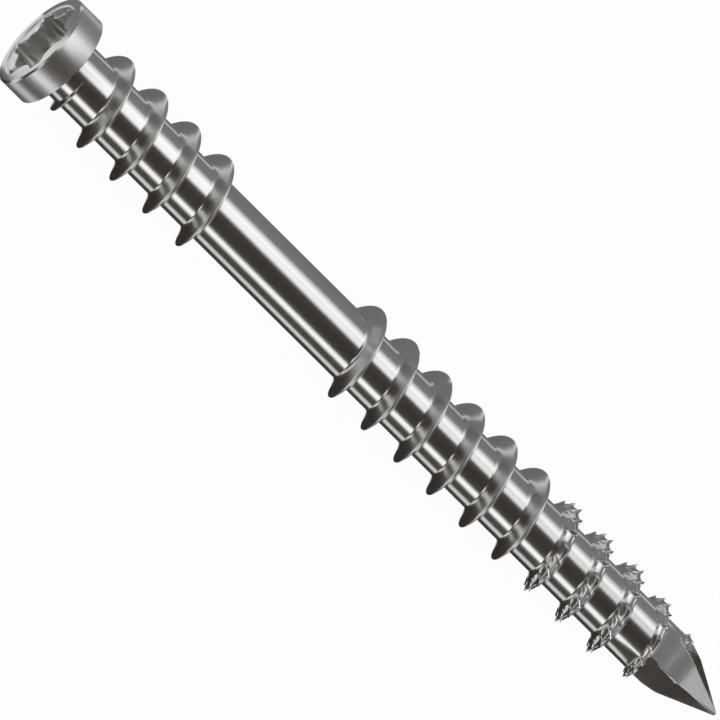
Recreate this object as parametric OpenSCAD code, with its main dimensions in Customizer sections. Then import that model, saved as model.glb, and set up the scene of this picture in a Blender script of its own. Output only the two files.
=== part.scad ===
// Deck screw with a small cylindrical head, a six-lobe socket, a short thread under the head,
// a plain shank and a long lower thread whose last turns are serrated down to a faceted point.
// The screw lies along X, with its seat (the underside of the head) at X = 0 and its point at +X.
// Lengths are in millimetres and angles in degrees.

/* [Head] */
// Diameter of the head
head_d = 5.6; // [5.2:0.1:8]
// Height of the head from its seat to its rim
head_h = 1.6; // [1.4:0.1:3]
// Chamfer round the top edge of the head
head_chamfer = 0.1; // [0.05:0.05:0.2]
// Width of the flat rim round the dished face
rim_w = 0.35; // [0.1:0.05:0.5]
// Depth of the dished face below the rim
dish_depth = 0.08; // [0.04:0.02:0.2]
// Radius of the fillet between the seat and the shank
seat_fillet = 0.3; // [0.1:0.05:0.5]

/* [Drive socket] */
// Size across opposite lobes
socket_lobes_d = 4.5; // [3.9:0.1:4.7]
// Size across opposite ridges between the lobes
socket_ridges_d = 3.2; // [2.9:0.1:3.4]
// Radius of the lobes
lobe_r = 0.4; // [0.3:0.05:0.5]
// Depth of the straight socket wall below the rim
socket_depth = 1.15; // [0.8:0.05:1.3]
// Depth of the conical bottom below the wall
socket_cone_depth = 0.4; // [0.2:0.05:0.6]

/* [Shank] */
// Length from the rim of the head to the point
screw_length = 51.1; // [45:0.1:90]
// Diameter of the plain shank and of the thread's core
core_d = 3.3; // [3:0.1:3.6]

/* [Thread] */
// Diameter over the thread's crests
thread_d = 5; // [4.6:0.1:5.6]
// Advance of the smooth thread for each turn
pitch = 2.47; // [2.2:0.01:2.6]
// Slope of the flank that faces the head, from the plane across the screw
head_flank_angle = 30; // [20:1:35]
// Slope of the flank that faces the point, from the plane across the screw
point_flank_angle = 22; // [10:1:30]
// Width of the flat on the crest
crest_w = 0.06; // [0.02:0.01:0.1]

/* [Upper thread] */
// Distance from the seat to the start of the upper thread
upper_start = 0.6; // [0.5:0.05:3]
// Direction in which the upper thread starts
upper_start_angle = 72; // [0:1:359]
// Turns of the upper thread
upper_turns = 4.65; // [3:0.05:5]
// Turns over which the upper thread rises to its full height
upper_rise_turns = 0.55; // [0.2:0.05:1]
// Turns over which the upper thread sinks back into the shank
upper_fade_turns = 0.25; // [0.2:0.05:1]

/* [Lower thread] */
// Direction in which the lower thread starts
lower_start_angle = 198; // [0:1:359]
// Turns of the lower thread with a smooth crest
smooth_turns = 6.28; // [4:0.01:7]
// Turns over which the lower thread rises to its full height
lower_rise_turns = 0.3; // [0.2:0.1:1]
// Turns of the lower thread with a serrated crest
serrated_turns = 4.32; // [3:0.01:5]
// Advance of the serrated thread for each turn
serrated_pitch = 2.35; // [2.1:0.01:2.5]
// Turns over which the serrated thread runs down to the point
taper_turns = 1.7; // [1:0.1:2.5]
// Height above the core's radius at which the thread's last piece ends
end_height = 0.25; // [0:0.05:0.4]
// Turns over which that last piece sinks into the point
end_turns = 0.15; // [0.05:0.05:0.3]
// Distance from the end of the thread to the tip of the point
thread_gap = 3.47; // [3:0.01:4]

/* [Serrations] */
// Teeth in each turn of the serrated crest
teeth_per_turn = 17; // [12:1:20]
// Direction of a tooth's tip
tooth_angle = 76; // [0:1:359]
// Depth of the hollows between the teeth
tooth_depth = 0.24; // [0.1:0.01:0.3]

/* [Point] */
// Number of flat sides on the point
point_sides = 6; // [4:2:8]
// Direction that the first flat side faces
point_side_angle = 75; // [0:1:359]
// Diameter over the edges between the flat sides where the point's steep part begins
point_d = 3; // [2.6:0.1:3.1]
// Length of the steep part, to the tip
steep_length = 3.25; // [2.8:0.05:4]
// Length over which the flat sides run nearly level before the steep part
level_length = 1.85; // [1.3:0.05:2.5]
// Length over which the flat sides first cut into the core
entry_length = 0.8; // [0.5:0.05:1.2]
// Length over which the two late sides cut into the core, up to the steep part
late_entry_length = 1.45; // [1:0.05:2]
// How far the two late sides are turned from even spacing
late_turn = 5; // [0:1:10]
// Length of the last side, which runs straight from the core to the tip
last_length = 2; // [1.5:0.05:3]
// Depth by which the flat sides taper over their level length
level_taper = 0.1; // [0:0.01:0.2]
// Diameter over the blunt end of the tip
tip_d = 0.2; // [0.1:0.01:0.4]
// How far the forged tip sits off the screw's axis
tip_offset = 0.15; // [0:0.01:0.2]
// Direction in which the tip sits off the axis
tip_offset_angle = 180; // [0:1:359]

/* [Hidden] */

// Flat faces for each turn of the round surfaces and of the smooth thread
round_steps = 96;
smooth_steps = 36;
// Faces between one tooth's tip and the next
tooth_steps = 4;
// Power that shifts the hollow towards the tip behind it; 1 leaves it in the middle
hollow_lean = 0.7;
// Width of the socket's floor between its cone and the ridges
cone_inset = 0.1;
// How far the thread's root reaches into the core
root_sink = 0.15;
// How far a cutting shape runs past what it cuts
margin = 1;

head_r = head_d / 2;
core_r = core_d / 2;
crest_r = thread_d / 2;
root_r = core_r - root_sink;
// Lengths along the screw are taken from the seat
tip_z = screw_length - head_h;
steep_z = tip_z - steep_length;
level_z = steep_z - level_length;
entry_z = level_z - entry_length;
late_entry_z = steep_z - late_entry_length;
thread_end_z = tip_z - thread_gap;
serrated_z = thread_end_z - serrated_turns * serrated_pitch;
// Distance of a flat side from the axis where the steep part begins
side_r = point_d / 2 * cos(180 / point_sides);
// Flat side that starts last, counted from the first one
last_side = point_sides - 2;
// Radius at which the lower thread ends inside the point
point_root_r = side_r - root_sink;
// Crest radius at which a thread is still inside the core
sunk_r = core_r - root_sink / 2;

// Point at a radius, a direction and a height along the screw
function around(r, angle, z) = [r * cos(angle), r * sin(angle), z];

// One section of the thread's ridge, from its head side over the crest to its point side
function ridge_section(crest, foot, inner, angle, z) = [
    around(inner, angle, z - crest_w / 2 - (foot - inner) * tan(head_flank_angle)),
    around(crest, angle, z - crest_w / 2),
    around(crest, angle, z + crest_w / 2),
    around(inner, angle, z + crest_w / 2 + (foot - inner) * tan(point_flank_angle))
];

// Closed ridge through a list of four-point sections
module ridge(sections) {
    count = len(sections);
    last = 4 * (count - 1);
    polyhedron(
        points = [for (section = sections) each section],
        faces = concat(
            [[3, 2, 1, 0]],
            [for (i = [0 : count - 2], j = [0 : 3])
                let (a = 4 * i + j, b = 4 * i + (j + 1) % 4)
                each [[a, b, b + 4], [a, b + 4, a + 4]]],
            [[last, last + 1, last + 2, last + 3]]
        ),
        convexity = 10
    );
}

// Radius of the upper thread's crest after some turns
function upper_r(turn) = lookup(turn, [
    [0, sunk_r],
    [upper_rise_turns, crest_r],
    [upper_turns - upper_fade_turns, crest_r],
    [upper_turns, sunk_r]
]);

// Upper thread. Where it rises, its point side stays on the same helix and its crest moves along it.
module upper_thread() {
    steps = ceil(upper_turns * smooth_steps);
    ridge([for (i = [0 : steps])
        let (turn = upper_turns * i / steps)
        let (r = upper_r(turn))
        let (z = upper_start + pitch * turn + (crest_r - r) * tan(point_flank_angle))
        ridge_section(r, r, root_r, upper_start_angle + 360 * turn, z)]);
}

// Radius over the lower thread's teeth, counted in turns from the start of its serrated crest
function lower_r(turn) = lookup(turn, [
    [-smooth_turns, sunk_r],
    [lower_rise_turns - smooth_turns, crest_r],
    [serrated_turns - taper_turns, crest_r],
    [serrated_turns - end_turns, core_r + end_height],
    [serrated_turns, point_root_r + root_sink / 2]
]);

// Place of the lower thread's crest along the screw, with its two pitches
function lower_z(turn) = serrated_z + turn * (turn < 0 ? pitch : serrated_pitch);

// Radius of the lower thread's root, which follows the point inwards
function lower_root_r(z) = lookup(z, [
    [entry_z, root_r],
    [steep_z, point_root_r],
    [tip_z, 0]
]);

// Depth below the tips: steep behind each tip, flat at the bottom and rising again before the next
function hollow(phase) = tooth_depth * sqrt(sin(180 * pow(phase, hollow_lean)));

module lower_thread() {
    start_angle = lower_start_angle + 360 * smooth_turns;
    // The first tooth is the first one at or after the start of the serrated crest
    teeth_before = (start_angle - tooth_angle) * teeth_per_turn / 360;
    first_turn = (ceil(teeth_before) - teeth_before) / teeth_per_turn;
    smooth_length = smooth_turns + first_turn;
    smooth_count = ceil(smooth_length * smooth_steps);
    step_turn = 1 / (teeth_per_turn * tooth_steps);
    tooth_count = ceil((serrated_turns - first_turn) / step_turn);
    smooth = [for (i = [0 : smooth_count - 1])
        let (turn = smooth_length * i / smooth_count - smooth_turns)
        let (r = lower_r(turn))
        ridge_section(r, r, root_r, start_angle + 360 * turn, lower_z(turn))];
    serrated = [for (i = [0 : tooth_count])
        let (turn = min(first_turn + i * step_turn, serrated_turns))
        let (foot = lower_r(turn))
        let (inner = lower_root_r(lower_z(turn)))
        let (share = (foot - inner) / (crest_r - inner))
        let (crest = foot - share * hollow((i % tooth_steps) / tooth_steps))
        ridge_section(crest, foot, inner, start_angle + 360 * turn, lower_z(turn))];
    ridge(concat(smooth, serrated));
}

// Outline of the socket: round lobes joined by round ridges that they run into smoothly
module socket_outline() {
    lobe_x = socket_lobes_d / 2 - lobe_r;
    ridge_x = socket_ridges_d / 2;
    ridge_gap = lobe_x * lobe_x + ridge_x * ridge_x - 2 * cos(30) * lobe_x * ridge_x;
    ridge_curve_r = (ridge_gap - lobe_r * lobe_r) / (2 * (lobe_r + cos(30) * lobe_x - ridge_x));
    // Half of the lobe's arc, from the triangle of the lobe's centre, the ridge's centre and the axis
    far_x = ridge_x + ridge_curve_r;
    between = lobe_r + ridge_curve_r;
    lobe_angle = 180 - acos((lobe_x * lobe_x + between * between - far_x * far_x) / (2 * lobe_x * between));
    ridge_half = lobe_angle - 30;
    polygon([for (lobe = [0 : 5])
        each concat(
            [for (a = [-1 : 0.25 : 1])
                [lobe_x * cos(60 * lobe) + lobe_r * cos(60 * lobe + a * lobe_angle),
                 lobe_x * sin(60 * lobe) + lobe_r * sin(60 * lobe + a * lobe_angle)]],
            [for (a = [-0.75 : 0.25 : 0.75])
                [far_x * cos(60 * lobe + 30) + ridge_curve_r * cos(60 * lobe + 210 - a * ridge_half),
                 far_x * sin(60 * lobe + 30) + ridge_curve_r * sin(60 * lobe + 210 - a * ridge_half)]]
        )]);
}

// Socket below the rim's plane, open upwards
module socket() {
    translate([0, 0, -socket_depth])
        linear_extrude(height = socket_depth + margin)
            socket_outline();
    translate([0, 0, -socket_depth - socket_cone_depth])
        cylinder(h = socket_cone_depth, r1 = 0, r2 = socket_ridges_d / 2 - cone_inset, $fn = round_steps);
}

// Head standing on its seat, with its face dished inside the rim
module head_blank() {
    dish_r = head_r - head_chamfer - rim_w;
    rotate_extrude($fn = round_steps)
        polygon([
            [0, 0],
            [head_r, 0],
            [head_r, head_h - head_chamfer],
            [head_r - head_chamfer, head_h],
            [dish_r, head_h],
            [dish_r - dish_depth, head_h - dish_depth],
            [0, head_h - dish_depth]
        ]);
}

// Round core with its fillet under the head
module round_core() {
    cylinder(h = tip_z, r = core_r, $fn = round_steps);
    rotate_extrude($fn = round_steps)
        polygon(concat(
            [[0, 0], [core_r + seat_fillet, 0]],
            [for (a = [15 : 15 : 90])
                [core_r + seat_fillet * (1 - sin(a)), seat_fillet * (1 - cos(a))]],
            [[0, seat_fillet]]
        ));
}

// One opposite pair of flat sides starts late
function is_late(side) = side % (point_sides / 2) == point_sides / 2 - 1;

// Line of one flat side from the core to the tip
function side_line(side) =
    side == last_side ? [[core_r, tip_z - last_length]] :
    is_late(side) ? [[core_r, late_entry_z], [side_r, steep_z]] :
    [[core_r, entry_z], [side_r + level_taper, level_z], [side_r, steep_z]];

// All that lies behind one flat side of the point: its side view, drawn out across the screw
module behind_side(side) {
    angle = point_side_angle + 360 * side / point_sides + (is_late(side) ? late_turn : 0);
    tip_r = tip_d / 2 + tip_offset * cos(angle - tip_offset_angle);
    line = concat(side_line(side), [[tip_r, tip_z]]);
    // The first cut is drawn on outwards past the core, so that it leaves the core along a clean curve
    rise = (line[1][1] - line[0][1]) / (line[0][0] - line[1][0]);
    rotate([0, 0, angle])
        rotate([90, 0, 0])
            translate([0, 0, -head_r])
                linear_extrude(height = head_d)
                    polygon(concat(
                        [[-head_r, -margin], [head_r, -margin]],
                        [[head_r, line[0][1] - rise * (head_r - core_r)]],
                        [for (i = [1 : len(line) - 1]) line[i]],
                        [[-head_r, tip_z]]
                    ));
}

// Core with the flat sides of the point cut into it
module core() {
    intersection() {
        round_core();
        intersection_for (side = [0 : point_sides - 1])
            behind_side(side);
    }
}

// Head and core in one piece, with the socket sunk into them
module blank() {
    difference() {
        union() {
            mirror([0, 0, 1])
                head_blank();
            core();
        }
        translate([0, 0, -head_h])
            mirror([0, 0, 1])
                socket();
    }
}

// The whole screw, turned from standing on Z to lying along X
module deck_screw() {
    color("#8d8f91")
        rotate([90, 0, 90]) {
            blank();
            upper_thread();
            lower_thread();
        }
}

deck_screw();
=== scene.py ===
"""Deck screw of polished stainless steel, lying on a pale floor.

The screw is one piece of steel, so it is one mesh: a turned blank with a socket and a faceted
point, and two threads wound round it. Lengths are in millimetres up to the moment that they
become a mesh, and directions round the screw are degrees from +Y over +Z.
"""

import math

import bpy
import numpy as np
from mathutils import Matrix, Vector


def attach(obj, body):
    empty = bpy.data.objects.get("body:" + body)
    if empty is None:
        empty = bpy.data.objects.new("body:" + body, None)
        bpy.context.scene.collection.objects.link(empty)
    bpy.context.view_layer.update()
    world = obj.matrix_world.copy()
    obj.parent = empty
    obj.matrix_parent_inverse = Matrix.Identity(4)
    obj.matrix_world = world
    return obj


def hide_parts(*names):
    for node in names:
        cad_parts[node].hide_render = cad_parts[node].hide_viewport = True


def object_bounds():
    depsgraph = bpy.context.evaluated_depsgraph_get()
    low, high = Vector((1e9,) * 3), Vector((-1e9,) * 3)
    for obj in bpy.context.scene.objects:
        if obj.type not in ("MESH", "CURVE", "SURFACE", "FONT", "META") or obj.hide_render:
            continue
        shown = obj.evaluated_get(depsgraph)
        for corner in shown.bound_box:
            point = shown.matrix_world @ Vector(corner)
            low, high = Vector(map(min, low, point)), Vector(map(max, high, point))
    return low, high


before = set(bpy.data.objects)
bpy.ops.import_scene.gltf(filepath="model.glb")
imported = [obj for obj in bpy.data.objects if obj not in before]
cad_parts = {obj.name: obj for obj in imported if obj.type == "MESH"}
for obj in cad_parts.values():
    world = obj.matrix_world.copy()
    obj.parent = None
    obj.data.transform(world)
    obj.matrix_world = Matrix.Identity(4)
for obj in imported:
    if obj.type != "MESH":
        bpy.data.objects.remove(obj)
cad_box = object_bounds()

MM = 0.001

# Head, with its seat at X = 0 and its face at -X
HEAD_R = 2.8
HEAD_H = 1.6
HEAD_CHAMFER = 0.1
RIM_W = 0.35
DISH_DEPTH = 0.08
SEAT_EDGE = 0.04
SEAT_EDGE_STEPS = 3
SEAT_FILLET = 0.3
SEAT_FILLET_STEPS = 8

# Six-lobe socket
SOCKET_LOBES_R = 2.25
SOCKET_RIDGES_R = 1.6
LOBE_R = 0.4
SOCKET_DEPTH = 1.15
SOCKET_CONE_DEPTH = 0.4
SOCKET_MOUTH = 0.05
SOCKET_LEDGE = 0.1
SOCKET_LOBE_TURN = 60

# Shank and thread
CORE_R = 1.65
CREST_R = 2.5
TIP_X = 49.5
PITCH = 2.47
SERRATED_PITCH = 2.35
HEAD_FLANK = 30
POINT_FLANK = 19
CREST_ROUND = 0.04
ROOT_SINK = 0.15
ROOT_FLARE = 0.05
# Rows up a flank, as shares of its height, and then up its pleats, as shares of theirs
ROOT_ROWS = (0, 0.13, 0.19, 0.27, 0.42)
PLEAT_ROWS = (0.25, 0.5, 0.75, 1)
# Directions of the rows over the crest, in degrees from straight out
CREST_ROWS = (-28, 0, 34)
# Shares of a flank's height over which it flares into the core
FLARE_START = 0.15
FLARE_REACH = 0.13

# Thread under the head
UPPER_START = 0.6
UPPER_START_ANGLE = 72
UPPER_TURNS = 4.65
UPPER_RISE_TURNS = 0.55
UPPER_FADE_TURNS = 0.25

# Thread down to the point
LOWER_START_ANGLE = 198
SMOOTH_TURNS = 6.28
LOWER_RISE_TURNS = 0.3
SERRATED_TURNS = 4.32
TAPER_TURNS = 1.7
END_TURNS = 0.15
END_HEIGHT = 0.25
THREAD_GAP = 3.47

# Teeth of the serrated crest
TEETH_PER_TURN = 17
TOOTH_ANGLE = 76
TOOTH_DEPTH = 0.24
HOLLOW_LEAN = 0.7
TOOTH_LEAN = 6
TOOTH_REACH = 0.05
PLEAT_DEPTH = 0.08

# Point: the long edge between two sides is rounded with a radius of POINT_EDGE by two narrow
# flats, the second one EDGE_LEAN degrees round from the first
POINT_SIDES = 6
POINT_SIDE_ANGLE = 75
POINT_CORNER_R = 1.5
STEEP_LENGTH = 3.25
LEVEL_LENGTH = 1.85
ENTRY_LENGTH = 0.8
LATE_ENTRY_LENGTH = 1.45
LATE_TURN = 5
LAST_LENGTH = 2
LEVEL_TAPER = 0.1
TIP_R = 0.1
TIP_OFFSET = 0.15
TIP_OFFSET_ANGLE = 180
POINT_EDGE = 0.12
EDGE_LEAN = 12
# How far each way a side's parts run into each other: on the broad top side, on the other early
# sides, on the late ones and on the last one
TOP_BLEND = 0.9
EARLY_BLEND = 0.12
LATE_BLEND = 0.05
LAST_BLEND = 0.01
BLEND_STEPS_PER_MM = 10

# Fineness of the mesh
BLANK_COLUMNS = 240
SMOOTH_COLUMNS = 8
TOOTH_COLUMNS = 14
# Vertices nearer than this are one, on a thread's seam and where the pieces were joined
SEAM_MERGE = 1e-4
JOIN_MERGE = 1e-5
# Edges of more than this many degrees stay sharp
SHARP_ANGLE = 25
# A cutter stands this far past the surface that it cuts
CUTTER_REACH = 1
# Smallest step between two rings of a cutter
HAIR = 0.001

# Steel: tumbling leaves faint clouds a few millimetres wide, and forming a fine grain about a
# tenth of a millimetre wide. Noise scales are in repeats per metre.
STEEL_DARK = "#cdccca"
STEEL_LIGHT = "#d6d5d3"
CLOUD_SCALE = 350.0
CLOUD_DETAIL = 3.0
GRAIN_SCALE = 9000.0
GRAIN_DETAIL = 2.0
BRIGHT_ROUGHNESS = (0.17, 0.24)
SATIN_ROUGHNESS = (0.28, 0.4)

# Studio: a white room with two soft lamps, and cards in three plain greys. Each of them is a flat
# rectangle along the screw: two long edges, given by their Y and Z, and where it starts and ends
# along X.
SOFT_BOX = ((125, 270), (265, 150), -450, 175)
STRIP_LAMP = ((-300, 135), (-245, 215), -450, 550)
LAMP_GLOW = 0.6
GREYS = {"dark_grey_card": "#48423e", "mid_grey_card": "#909090", "pale_grey_card": "#eeeeee"}
# The white floor shows between the right card and the one under the screw, as a bright wedge on
# each thread. The card beside the shank hides that gap from the plain shank. The cards ahead, far
# and under the point are what the point's sides show.
CARDS = {
    "card_overhead": ("dark_grey_card", (-330, 300), (120, 300), -1300, 550),
    "card_left": ("dark_grey_card", (-8, -0.62), (-60, 24), -450, 550),
    # Painted shade: this dark card lies on the floor right beside the screw, is seen only in the steel, and
    # stands in there for the floor's shade beside the screw.
    "painted_shade_left_flat": ("dark_grey_card", (-2.3, -2.75), (-6.8, -2.75), -450, 550),
    "card_left_ahead": ("dark_grey_card", (-6.8, -2.7), (-20, -2.7), 51, 550),
    "card_ahead": ("mid_grey_card", (120, 300), (320, 300), 175, 480),
    "card_right": ("mid_grey_card", (80, 26), (6.4, -2.7), -450, 550),
    "card_beside_shank": ("mid_grey_card", (6.6, -2.7), (5, -2.7), 12.5, 23),
    # Painted shade: these two cards lie on the floor under the screw and its point, are seen only in the
    # steel, and stand in there for the floor's shade beneath the screw.
    "painted_shade_under": ("mid_grey_card", (5.2, -2.75), (1, -2.75), -450, 48),
    "card_under_point": ("dark_grey_card", (5.2, -2.75), (1, -2.75), 48, 550),
    "card_far": ("pale_grey_card", (120, 300), (520, 300), 480, 1400),
}
FILL_LIGHT = 0.8

# White paper floor, with its size in metres
FLOOR_SIZE = 4
FLOOR_COLOUR = "#f2f2f2"
FLOOR_ROUGHNESS = 0.9
FLOOR_GLOW = 0.95
WHITE = "#ffffff"

# View: the camera looks down on the screw from its head end
CAMERA_TILT = 20.5
CAMERA_ROLL = 44.79
FRAME_WIDTH = 36.11
FRAME_CENTRE = (22.51, -0.08, 0)
LENS = 1700
SENSOR = 36
# In metres from the camera
CLIP_START = 0.1
CLIP_END = 10


def node(tree, kind, settings=None, **inputs):
    """Adds a node with its settings; an input is a value or another node's output."""
    made = tree.nodes.new(kind)
    for name, value in (settings or {}).items():
        setattr(made, name, value)
    for name, value in inputs.items():
        socket = made.inputs[int(name[1:])] if name[1:].isdigit() else made.inputs[name.replace("_", " ")]
        if isinstance(value, bpy.types.NodeSocket):
            tree.links.new(value, socket)
        else:
            socket.default_value = value
    return made


def linear(hex_colour):
    """An sRGB hex colour as linear RGBA."""
    parts = [int(hex_colour[i:i + 2], 16) / 255 for i in (1, 3, 5)]
    return [c / 12.92 if c <= 0.04045 else ((c + 0.055) / 1.055) ** 2.4 for c in parts] + [1]


def around(r, angle, x):
    """Points in metres at a radius, a direction and a place along the screw."""
    r, angle, x = np.broadcast_arrays(r, np.radians(angle), x)
    return np.stack([x, r * np.cos(angle), r * np.sin(angle)], -1) * MM


def move_vertices(piece, points):
    piece.data.vertices.foreach_set("co", np.asarray(points, np.float32).ravel())
    piece.data.update()


def named(name):
    """The piece that was just added, with its name."""
    piece = bpy.context.object
    piece.name = piece.data.name = name
    return piece


def in_edit_mode(piece, *steps):
    """Runs mesh operators on the whole piece."""
    bpy.context.view_layer.objects.active = piece
    bpy.ops.object.mode_set(mode="EDIT")
    bpy.ops.mesh.select_all(action="SELECT")
    for step in steps:
        step()
    bpy.ops.object.mode_set(mode="OBJECT")


def face_outwards():
    """Turns every face of a closed piece outwards."""
    bpy.ops.mesh.select_all(action="SELECT")
    bpy.ops.mesh.normals_make_consistent(inside=False)


def combine(piece, tool, operation):
    """Joins a tool to a piece or cuts it away, and removes the tool."""
    change = piece.modifiers.new(operation.lower(), "BOOLEAN")
    change.object = tool
    change.operation = operation
    change.solver = "MANIFOLD"
    bpy.context.view_layer.objects.active = piece
    bpy.ops.object.modifier_apply(modifier=change.name)
    bpy.data.objects.remove(tool)


def arc(centre_r, centre_x, radius, start, end, steps):
    """Rings along an arc of the turned outline; its angles run from outwards (0) to +X (90)."""
    angles = np.radians(np.linspace(start, end, steps + 1))
    return [(centre_r + radius * math.cos(a), centre_x + radius * math.sin(a)) for a in angles]


def eased(points, reach, steps):
    """A polyline with its inner corners rounded off over a reach each way."""
    points = [np.array(p, float) for p in points]
    made = [points[0]]
    for before, corner, after in zip(points, points[1:], points[2:]):
        start = corner + (before - corner) * reach / np.linalg.norm(before - corner)
        end = corner + (after - corner) * reach / np.linalg.norm(after - corner)
        for t in np.linspace(0, 1, steps + 1):
            made.append((1 - t) ** 2 * start + 2 * t * (1 - t) * corner + t ** 2 * end)
    return made + [points[-1]]


def blank_outline():
    """Rings of the turned blank from the dished face over the head and down the core."""
    face_x = -HEAD_H
    dish_r = HEAD_R - HEAD_CHAMFER - RIM_W
    return (
        [(dish_r - DISH_DEPTH, face_x + DISH_DEPTH), (dish_r, face_x)]
        + [(HEAD_R - HEAD_CHAMFER, face_x), (HEAD_R, face_x + HEAD_CHAMFER)]
        + arc(HEAD_R - SEAT_EDGE, -SEAT_EDGE, SEAT_EDGE, 0, 90, SEAT_EDGE_STEPS)
        + arc(CORE_R + SEAT_FILLET, SEAT_FILLET, SEAT_FILLET, 270, 180, SEAT_FILLET_STEPS)
        + [(CORE_R, TIP_X)]
    )


def turned(name, rings):
    """A round solid, drawn out from a disc ring by ring along the screw."""
    first_r, first_x = rings[0]
    bpy.ops.mesh.primitive_circle_add(
        vertices=BLANK_COLUMNS, radius=first_r * MM, fill_type="NGON",
        location=(first_x * MM, 0, 0), rotation=(0, math.pi / 2, 0),
    )
    piece = named(name)
    bpy.ops.object.transform_apply()

    def draw_out():
        for (r, x), (next_r, next_x) in zip(rings, rings[1:]):
            scale = next_r / r
            bpy.ops.mesh.extrude_region_move(TRANSFORM_OT_translate={"value": ((next_x - x) * MM, 0, 0)})
            bpy.ops.transform.resize(value=(1, scale, scale), center_override=(next_x * MM, 0, 0))

    in_edit_mode(piece, draw_out, face_outwards)
    return piece


def socket_r(angles):
    """Radius of the socket's wall: round lobes joined by round ridges."""
    half = SOCKET_LOBE_TURN / 2
    half_turn = math.radians(half)
    lobe_x = SOCKET_LOBES_R - LOBE_R
    gap = lobe_x ** 2 + SOCKET_RIDGES_R ** 2 - 2 * math.cos(half_turn) * lobe_x * SOCKET_RIDGES_R
    reach = 2 * (LOBE_R + math.cos(half_turn) * lobe_x - SOCKET_RIDGES_R)
    ridge_r = (gap - LOBE_R ** 2) / reach
    ridge_x = SOCKET_RIDGES_R + ridge_r
    from_lobe = np.radians(np.abs((np.asarray(angles) + half) % SOCKET_LOBE_TURN - half))
    from_ridge = half_turn - from_lobe
    lobe_side = np.sqrt(np.maximum(LOBE_R ** 2 - (lobe_x * np.sin(from_lobe)) ** 2, 0))
    ridge_side = np.sqrt(np.maximum(ridge_r ** 2 - (ridge_x * np.sin(from_ridge)) ** 2, 0))
    on_lobe = lobe_x * np.cos(from_lobe) + lobe_side
    on_ridge = ridge_x * np.cos(from_ridge) - ridge_side
    # The arcs touch on the line between their centres
    touch_x = lobe_x + (ridge_x * math.cos(half_turn) - lobe_x) * LOBE_R / (LOBE_R + ridge_r)
    touch_y = ridge_x * math.sin(half_turn) * LOBE_R / (LOBE_R + ridge_r)
    return np.where(from_lobe < math.atan2(touch_y, touch_x), on_lobe, on_ridge)


def socket_punch():
    """The punch that forms the socket: a lobed bar with a flared mouth and a conical nose."""
    face_x = -HEAD_H
    wall_end = face_x + SOCKET_DEPTH
    mouth_x = face_x + DISH_DEPTH
    # Each ring: place along the screw, share of the lobed outline, and size over that outline
    rings = [
        (face_x - CUTTER_REACH, 1, SOCKET_MOUTH),
        (mouth_x - 10 * HAIR, 1, SOCKET_MOUTH),
        (mouth_x + SOCKET_MOUTH, 1, 0),
        (wall_end, 1, 0),
        (wall_end + HAIR, 0, -SOCKET_LEDGE),
        (wall_end + SOCKET_CONE_DEPTH, 0, HAIR - SOCKET_RIDGES_R),
    ]
    bpy.ops.mesh.primitive_grid_add(x_subdivisions=BLANK_COLUMNS, y_subdivisions=len(rings) - 1, size=1)
    punch = named("socket_punch")
    angles = np.linspace(0, 360, BLANK_COLUMNS + 1)
    wall = socket_r(angles)
    points = [
        around(share * wall + (1 - share) * SOCKET_RIDGES_R + over, angles, x) for x, share, over in rings
    ]
    move_vertices(punch, points)
    in_edit_mode(punch, close_up, face_outwards)
    return punch


def close_up():
    """Closes the seam of a wound grid and its two ends."""
    bpy.ops.mesh.remove_doubles(threshold=SEAM_MERGE * MM)
    bpy.ops.mesh.fill_holes(sides=0)


def is_late(side):
    """One opposite pair of flat sides starts late."""
    return side % (POINT_SIDES // 2) == POINT_SIDES // 2 - 1


def side_line(side):
    """Line of one flat side from the core to its steep part, and how softly its parts run into
    each other."""
    side_r = POINT_CORNER_R * math.cos(math.pi / POINT_SIDES)
    steep_x = TIP_X - STEEP_LENGTH
    level_x = steep_x - LEVEL_LENGTH
    if side == POINT_SIDES - 2:
        return [(CORE_R, TIP_X - LAST_LENGTH)], LAST_BLEND
    if is_late(side):
        return [(CORE_R, steep_x - LATE_ENTRY_LENGTH), (side_r, steep_x)], LATE_BLEND
    blend = TOP_BLEND if side == 0 else EARLY_BLEND
    return [(CORE_R, level_x - ENTRY_LENGTH), (side_r + LEVEL_TAPER, level_x), (side_r, steep_x)], blend


def side_angle(side):
    """Direction of a flat side; the late ones are turned a little further."""
    return POINT_SIDE_ANGLE + 360 * side / POINT_SIDES + (LATE_TURN if is_late(side) else 0)


def side_outline(side):
    """Radius and place along the screw of a flat side, from outside the core to past the tip."""
    line, blend = side_line(side)
    end_r = TIP_R + TIP_OFFSET * math.cos(math.radians(side_angle(side) - TIP_OFFSET_ANGLE))
    line = line + [(end_r, TIP_X)]
    # Both ends are drawn on past the core and the tip
    rise = (line[1][1] - line[0][1]) / (line[0][0] - line[1][0])
    fall = (line[-2][0] - end_r) / (TIP_X - line[-2][1])
    first = (HEAD_R, line[0][1] - rise * (HEAD_R - CORE_R))
    last = (end_r - fall * CUTTER_REACH, TIP_X + CUTTER_REACH)
    steps = max(2, round(blend * BLEND_STEPS_PER_MM))
    return eased([first] + line[1:-1] + [last], blend, steps)


def edge_outline(side, lean):
    """The same for a narrow flat on the long edge between a side and the next one.

    Two sides whose directions are twice half_turn apart meet at (r + next_r) / (2 cos half_turn).
    The flat touches a rounding of radius POINT_EDGE between them, lean degrees from its middle.
    """
    half_turn = math.radians((side_angle(side + 1) - side_angle(side)) / 2)
    r, x = np.array(side_outline(side)).T
    next_r, next_x = np.array(side_outline((side + 1) % POINT_SIDES)).T
    both_x = np.union1d(x, next_x)
    both_r = np.interp(both_x, x, r) + np.interp(both_x, next_x, next_r)
    centre_r = (both_r / 2 - POINT_EDGE) / math.cos(half_turn)
    return list(zip(centre_r * math.cos(math.radians(lean)) + POINT_EDGE, both_x))


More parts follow.
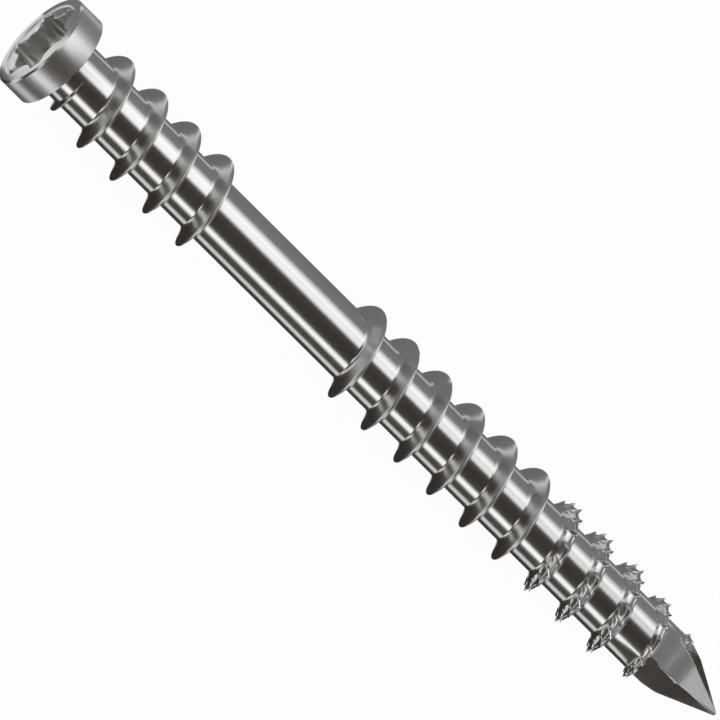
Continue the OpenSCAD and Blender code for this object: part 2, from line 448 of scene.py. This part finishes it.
def struck_off(angle, outline):
    """What is struck off the blank in one direction, outside an outline."""
    outline = outline + [(outline[0][0], outline[-1][1])]
    bpy.ops.mesh.primitive_circle_add(vertices=len(outline), radius=1, fill_type="NGON")
    cut = named("point_cut")
    turn = math.radians(angle)
    across = np.array([0, -math.sin(turn), math.cos(turn)])
    points = np.array([around(r, angle, x) for r, x in outline])
    move_vertices(cut, points - across * HEAD_R * MM)
    draw = tuple(across * 2 * HEAD_R * MM)
    in_edit_mode(
        cut, lambda: bpy.ops.mesh.extrude_region_move(TRANSFORM_OT_translate={"value": draw}), face_outwards
    )
    return cut


def ridge(name, angle, x, crest, dent, root):
    """A thread: a flat grid wound round the screw, one row for each line along the ridge.

    angle, x and crest give the crest's line; dent is how far the crest drops between teeth,
    from 0 to 1 of the tooth's depth; root is the radius at which the ridge is sunk in the core.
    """
    head_tan = math.tan(math.radians(HEAD_FLANK))
    point_tan = math.tan(math.radians(POINT_FLANK))
    full = CREST_R - (CORE_R - ROOT_SINK)
    size = (crest - root) / full
    drop = dent * TOOTH_DEPTH * size
    toothed = toothed_columns(dent)
    tip = 1 - dent
    rows_r, rows_x, rows_angle = [], [], []

    def flank(side, slope, start):
        """Rows from the sunk root to the crest: the lower part is plain and the upper part pleated."""
        turn = math.radians(90 - start)
        edge_r = crest - CREST_ROUND + CREST_ROUND * math.cos(turn)
        edge_x = CREST_ROUND * math.sin(turn)
        made = []
        for share in ROOT_ROWS:
            r = root + (edge_r - root) * share
            up = (max(share, ROOT_ROWS[1]) - FLARE_START) / FLARE_REACH
            flare = ROOT_FLARE * size * max(0, 1 - up) ** 2
            made.append((r, edge_x + (edge_r - r) * slope + flare, 0))
        pleat_r, pleat_x = made[-1][:2]
        for share in PLEAT_ROWS:
            r = pleat_r + (edge_r - drop - pleat_r) * share
            made.append((r, pleat_x + (edge_x - pleat_x) * share, share))
        return [(r, side * offset, lean) for r, offset, lean in made]

    head_side = flank(-1, head_tan, HEAD_FLANK)
    point_side = flank(1, point_tan, POINT_FLANK)
    top = [
        (crest - drop - CREST_ROUND + CREST_ROUND * math.cos(a), CREST_ROUND * math.sin(a), 1)
        for a in np.radians(CREST_ROWS)
    ]
    rows = head_side + top + point_side[::-1] + head_side[:1]
    for number, (r, offset, lean) in enumerate(rows):
        groove = PLEAT_DEPTH * 4 * lean * (1 - lean) * dent * size
        # The pleats are half as deep on the side of the point
        if number >= len(head_side):
            groove = -groove / 2
        rows_r.append(r)
        rows_x.append(x + offset + groove + TOOTH_REACH * tip * size * lean * toothed)
        rows_angle.append(angle - TOOTH_LEAN * (1 - lean) * toothed)
    points = around(np.array(rows_r).T, np.array(rows_angle).T, np.array(rows_x).T)
    bpy.ops.mesh.primitive_grid_add(x_subdivisions=len(rows) - 1, y_subdivisions=len(angle) - 1, size=1)
    piece = named(name)
    move_vertices(piece, points)
    in_edit_mode(piece, close_up, face_outwards)
    return piece


def toothed_columns(dent):
    """1 for the columns where the crest is serrated, easing in from 0 just before them."""
    if not dent.any():
        return np.zeros(len(dent))
    first = int(np.argmax(dent > 0))
    return np.clip((np.arange(len(dent)) - (first - SMOOTH_COLUMNS)) / SMOOTH_COLUMNS, 0, 1)


def upper_thread():
    """The short thread under the head."""
    columns = SMOOTH_COLUMNS * TEETH_PER_TURN
    turn = np.linspace(0, UPPER_TURNS, round(UPPER_TURNS * columns) + 1)
    sunk = CORE_R - ROOT_SINK / 2
    crest = np.interp(
        turn,
        [0, UPPER_RISE_TURNS, UPPER_TURNS - UPPER_FADE_TURNS, UPPER_TURNS],
        [sunk, CREST_R, CREST_R, sunk],
    )
    x = UPPER_START + PITCH * turn + (CREST_R - crest) * math.tan(math.radians(POINT_FLANK))
    root = np.full_like(turn, CORE_R - ROOT_SINK)
    return ridge("upper_thread", UPPER_START_ANGLE + 360 * turn, x, crest, 0 * turn, root)


def lower_thread():
    """The long thread, counted in turns from the start of its serrated crest."""
    start_angle = LOWER_START_ANGLE + 360 * SMOOTH_TURNS
    teeth_before = (start_angle - TOOTH_ANGLE) * TEETH_PER_TURN / 360
    first_tooth = (math.ceil(teeth_before) - teeth_before) / TEETH_PER_TURN
    smooth_count = round((SMOOTH_TURNS + first_tooth) * SMOOTH_COLUMNS * TEETH_PER_TURN)
    smooth = np.linspace(-SMOOTH_TURNS, first_tooth, smooth_count, endpoint=False)
    step = 1 / (TOOTH_COLUMNS * TEETH_PER_TURN)
    tooth_count = math.ceil((SERRATED_TURNS - first_tooth) / step)
    index = np.arange(tooth_count + 1)
    toothed = np.minimum(first_tooth + index * step, SERRATED_TURNS)
    phase = (index % TOOTH_COLUMNS) / TOOTH_COLUMNS
    hollow = np.sqrt(np.sin(math.pi * phase ** HOLLOW_LEAN))
    turn = np.concatenate([smooth, toothed])
    dent = np.concatenate([0 * smooth, hollow])
    side_r = POINT_CORNER_R * math.cos(math.pi / POINT_SIDES)
    end_root = side_r - ROOT_SINK
    crest = np.interp(
        turn,
        [-SMOOTH_TURNS, LOWER_RISE_TURNS - SMOOTH_TURNS, SERRATED_TURNS - TAPER_TURNS,
         SERRATED_TURNS - END_TURNS, SERRATED_TURNS],
        [CORE_R - ROOT_SINK / 2, CREST_R, CREST_R, CORE_R + END_HEIGHT, end_root + ROOT_SINK / 2],
    )
    serrated_x = TIP_X - THREAD_GAP - SERRATED_TURNS * SERRATED_PITCH
    x = serrated_x + turn * np.where(turn < 0, PITCH, SERRATED_PITCH)
    steep_x = TIP_X - STEEP_LENGTH
    entry_x = steep_x - LEVEL_LENGTH - ENTRY_LENGTH
    root = np.interp(x, [entry_x, steep_x, TIP_X], [CORE_R - ROOT_SINK, end_root, 0])
    return ridge("lower_thread", start_angle + 360 * turn, x, crest, dent, root)


def screw():
    """The whole screw as one closed mesh."""
    piece = turned("deck_screw_steel", blank_outline())
    for side in range(POINT_SIDES):
        combine(piece, struck_off(side_angle(side), side_outline(side)), "DIFFERENCE")
    for side in range(POINT_SIDES):
        between = (side_angle(side) + side_angle(side + 1)) / 2
        for lean in (0, -EDGE_LEAN if is_late(side) else EDGE_LEAN):
            combine(piece, struck_off(between + lean, edge_outline(side, lean)), "DIFFERENCE")
    combine(piece, socket_punch(), "DIFFERENCE")
    combine(piece, upper_thread(), "UNION")
    combine(piece, lower_thread(), "UNION")
    in_edit_mode(piece, lambda: bpy.ops.mesh.remove_doubles(threshold=JOIN_MERGE * MM), face_outwards)
    bpy.ops.object.select_all(action="DESELECT")
    piece.select_set(True)
    bpy.context.view_layer.objects.active = piece
    bpy.ops.object.shade_smooth_by_angle(angle=math.radians(SHARP_ANGLE))
    # Weighted by area, so that the flats stay flat beside their rounded edges
    even = piece.modifiers.new("even_normals", "WEIGHTED_NORMAL")
    even.keep_sharp = True
    bpy.ops.object.modifier_apply(modifier=even.name)
    return piece


def noise(tree, place, scale, detail):
    """Soft clouds from 0 to 1."""
    return node(tree, "ShaderNodeTexNoise", Vector=place, Scale=scale, Detail=detail).outputs["Fac"]


def within(tree, value, low, high):
    """A value from 0 to 1, brought between two limits."""
    return node(tree, "ShaderNodeMapRange", Value=value, To_Min=low, To_Max=high).outputs["Result"]


def polished_stainless_steel():
    """Cold-formed stainless steel, tumbled bright: the rolled shank and threads are burnished, and
    the upset head is satin but for its turned chamfer."""
    material = bpy.data.materials.new("polished_stainless_steel")
    material.use_nodes = True
    tree = material.node_tree
    shader = tree.nodes["Principled BSDF"]
    shader.inputs["Metallic"].default_value = 1
    place = node(tree, "ShaderNodeTexCoord").outputs["Object"]
    parts = node(tree, "ShaderNodeSeparateXYZ", _0=place).outputs
    clouds = noise(tree, place, CLOUD_SCALE, CLOUD_DETAIL)
    tint = node(
        tree, "ShaderNodeMix", {"data_type": "RGBA"},
        Factor=clouds, _6=linear(STEEL_DARK), _7=linear(STEEL_LIGHT),
    )
    tree.links.new(tint.outputs[2], shader.inputs["Base Color"])
    grain = noise(tree, place, GRAIN_SCALE, GRAIN_DETAIL)
    bright = within(tree, grain, *BRIGHT_ROUGHNESS)
    satin = within(tree, grain, *SATIN_ROUGHNESS)
    across = node(tree, "ShaderNodeCombineXYZ", _1=parts["Y"], _2=parts["Z"]).outputs[0]
    from_axis = node(tree, "ShaderNodeVectorMath", {"operation": "LENGTH"}, _0=across).outputs["Value"]

    def beyond(value, limit, operation):
        return node(tree, "ShaderNodeMath", {"operation": operation}, _0=value, _1=limit * MM).outputs[0]

    on_head = beyond(parts["X"], -SEAT_EDGE, "LESS_THAN")
    outside = beyond(from_axis, HEAD_R - HEAD_CHAMFER, "GREATER_THAN")
    at_rim = beyond(parts["X"], HEAD_CHAMFER - HEAD_H, "LESS_THAN")
    on_chamfer = node(tree, "ShaderNodeMath", {"operation": "MULTIPLY"}, _0=outside, _1=at_rim).outputs[0]
    head = node(
        tree, "ShaderNodeMath", {"operation": "SUBTRACT", "use_clamp": True}, _0=on_head, _1=on_chamfer,
    ).outputs[0]
    rough = node(tree, "ShaderNodeMix", {"data_type": "FLOAT"}, _0=head, _2=bright, _3=satin).outputs[0]
    tree.links.new(rough, shader.inputs["Roughness"])
    return material


def shown(tree):
    """1 for rays that show a thing, straight or in metal and glass, and 0 for rays that light it."""
    light_path = node(tree, "ShaderNodeLightPath").outputs
    share = light_path["Is Camera Ray"]
    for ray in ("Is Glossy Ray", "Is Transmission Ray"):
        larger = node(tree, "ShaderNodeMath", {"operation": "MAXIMUM"}, _0=share, _1=light_path[ray])
        share = larger.outputs[0]
    return share


def white_room():
    """White all round, for the eye and in the steel, and a plain fill light."""
    world = bpy.data.worlds.new("white_room")
    bpy.context.scene.world = world
    world.use_nodes = True
    tree = world.node_tree
    background = tree.nodes["Background"]
    background.inputs["Color"].default_value = linear(WHITE)
    tree.links.new(within(tree, shown(tree), FILL_LIGHT, 1.0), background.inputs["Strength"])


def along_screw(first, last, start_x, end_x):
    """Place of a flat rectangle that faces the screw, and its length and width in metres.

    A lamp's edges go in the order of the turn from the left over the top to the right.
    """
    near, far = (np.array((0, *edge)) * MM for edge in (first, last))
    along = np.array((1, 0, 0))
    width = np.linalg.norm(far - near)
    across = (far - near) / width
    matrix = np.eye(4)
    matrix[:3, 0], matrix[:3, 1], matrix[:3, 2] = along, across, np.cross(along, across)
    matrix[:3, 3] = (near + far) / 2 + along * (start_x + end_x) / 2 * MM
    return Matrix(matrix.tolist()), (end_x - start_x) * MM, width


def soft_lamp(name, place):
    """An area lamp that adds LAMP_GLOW to the white that the steel shows there."""
    matrix, length, width = along_screw(*place)
    data = bpy.data.lights.new(name, "AREA")
    data.shape = "RECTANGLE"
    data.size, data.size_y = length, width
    data.energy = math.pi * length * width * LAMP_GLOW
    lamp = bpy.data.objects.new(name, data)
    bpy.context.scene.collection.objects.link(lamp)
    lamp.matrix_world = matrix
    lamp.visible_camera = False


def card(name, place, material):
    """A card that only the steel shows, to give its bright surface an edge on white; the cards laid on the
    floor under and beside the screw give it painted shade of the floor there instead.
    """
    matrix, length, width = along_screw(*place)
    bpy.ops.mesh.primitive_plane_add(size=1)
    piece = named(name)
    piece.matrix_world = matrix @ Matrix.Diagonal((length, width, 1, 1))
    bpy.ops.object.transform_apply()
    piece.data.materials.append(material)
    piece.visible_camera = piece.visible_diffuse = piece.visible_shadow = False


def matt_card(name, colour):
    """Matt card, as photographers stand beside bright metal, and laid flat under and beside the screw as
    painted shade of the floor there.
    """
    material = bpy.data.materials.new(name)
    material.use_nodes = True
    shader = material.node_tree.nodes["Principled BSDF"]
    shader.inputs["Base Color"].default_value = linear(colour)
    shader.inputs["Roughness"].default_value = 1
    shader.inputs["Specular IOR Level"].default_value = 0
    return material


def studio():
    """The white room with its lamps and cards."""
    white_room()
    soft_lamp("soft_box", SOFT_BOX)
    soft_lamp("strip_lamp", STRIP_LAMP)
    greys = {name: matt_card(name, colour) for name, colour in GREYS.items()}
    for name, (grey, *place) in CARDS.items():
        card(name, place, greys[grey])


def pale_floor(height):
    """White paper that is seen near white and still takes the screw's shadow."""
    bpy.ops.mesh.primitive_plane_add(size=FLOOR_SIZE, location=(0, 0, height))
    floor = named("floor")
    bpy.ops.object.transform_apply()
    material = bpy.data.materials.new("white_paper")
    material.use_nodes = True
    tree = material.node_tree
    shader = tree.nodes["Principled BSDF"]
    shader.inputs["Base Color"].default_value = linear(FLOOR_COLOUR)
    shader.inputs["Roughness"].default_value = FLOOR_ROUGHNESS
    shader.inputs["Specular IOR Level"].default_value = 0
    glow = node(tree, "ShaderNodeEmission", Color=linear(WHITE), Strength=1.0).outputs[0]
    share = node(tree, "ShaderNodeMath", {"operation": "MULTIPLY"}, _0=shown(tree), _1=FLOOR_GLOW)
    seen = node(
        tree, "ShaderNodeMixShader", _0=share.outputs[0], _1=shader.outputs[0], _2=glow,
    ).outputs[0]
    tree.links.new(seen, tree.nodes["Material Output"].inputs["Surface"])
    floor.data.materials.append(material)


def look_down():
    """Camera over the screw's head end, so far off that the view is all but parallel."""
    tilt = math.radians(CAMERA_TILT)
    back = np.array([-math.sin(tilt), 0, math.cos(tilt)])
    along = np.array([math.cos(tilt), 0, math.sin(tilt)])
    side = np.array([0, 1, 0])
    roll = math.radians(CAMERA_ROLL)
    right = math.cos(roll) * along + math.sin(roll) * side
    up = np.cross(back, right)
    distance = LENS / SENSOR * FRAME_WIDTH
    place = (np.array(FRAME_CENTRE) + back * distance) * MM
    data = bpy.data.cameras.new("camera")
    data.lens, data.sensor_width = LENS, SENSOR
    data.clip_start, data.clip_end = CLIP_START, CLIP_END
    camera = bpy.data.objects.new("camera", data)
    bpy.context.scene.collection.objects.link(camera)
    matrix = np.eye(4)
    matrix[:3, 0], matrix[:3, 1], matrix[:3, 2], matrix[:3, 3] = right, up, back, place
    camera.matrix_world = Matrix(matrix.tolist())
    bpy.context.scene.camera = camera


bpy.ops.object.select_all(action="DESELECT")
bpy.context.scene.view_settings.view_transform = "Standard"

look_down()
studio()
pale_floor(cad_box[0].z)

steel_screw = screw()
steel_screw.data.materials.clear()
steel_screw.data.materials.append(polished_stainless_steel())
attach(steel_screw, "root")
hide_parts("deck_screw")
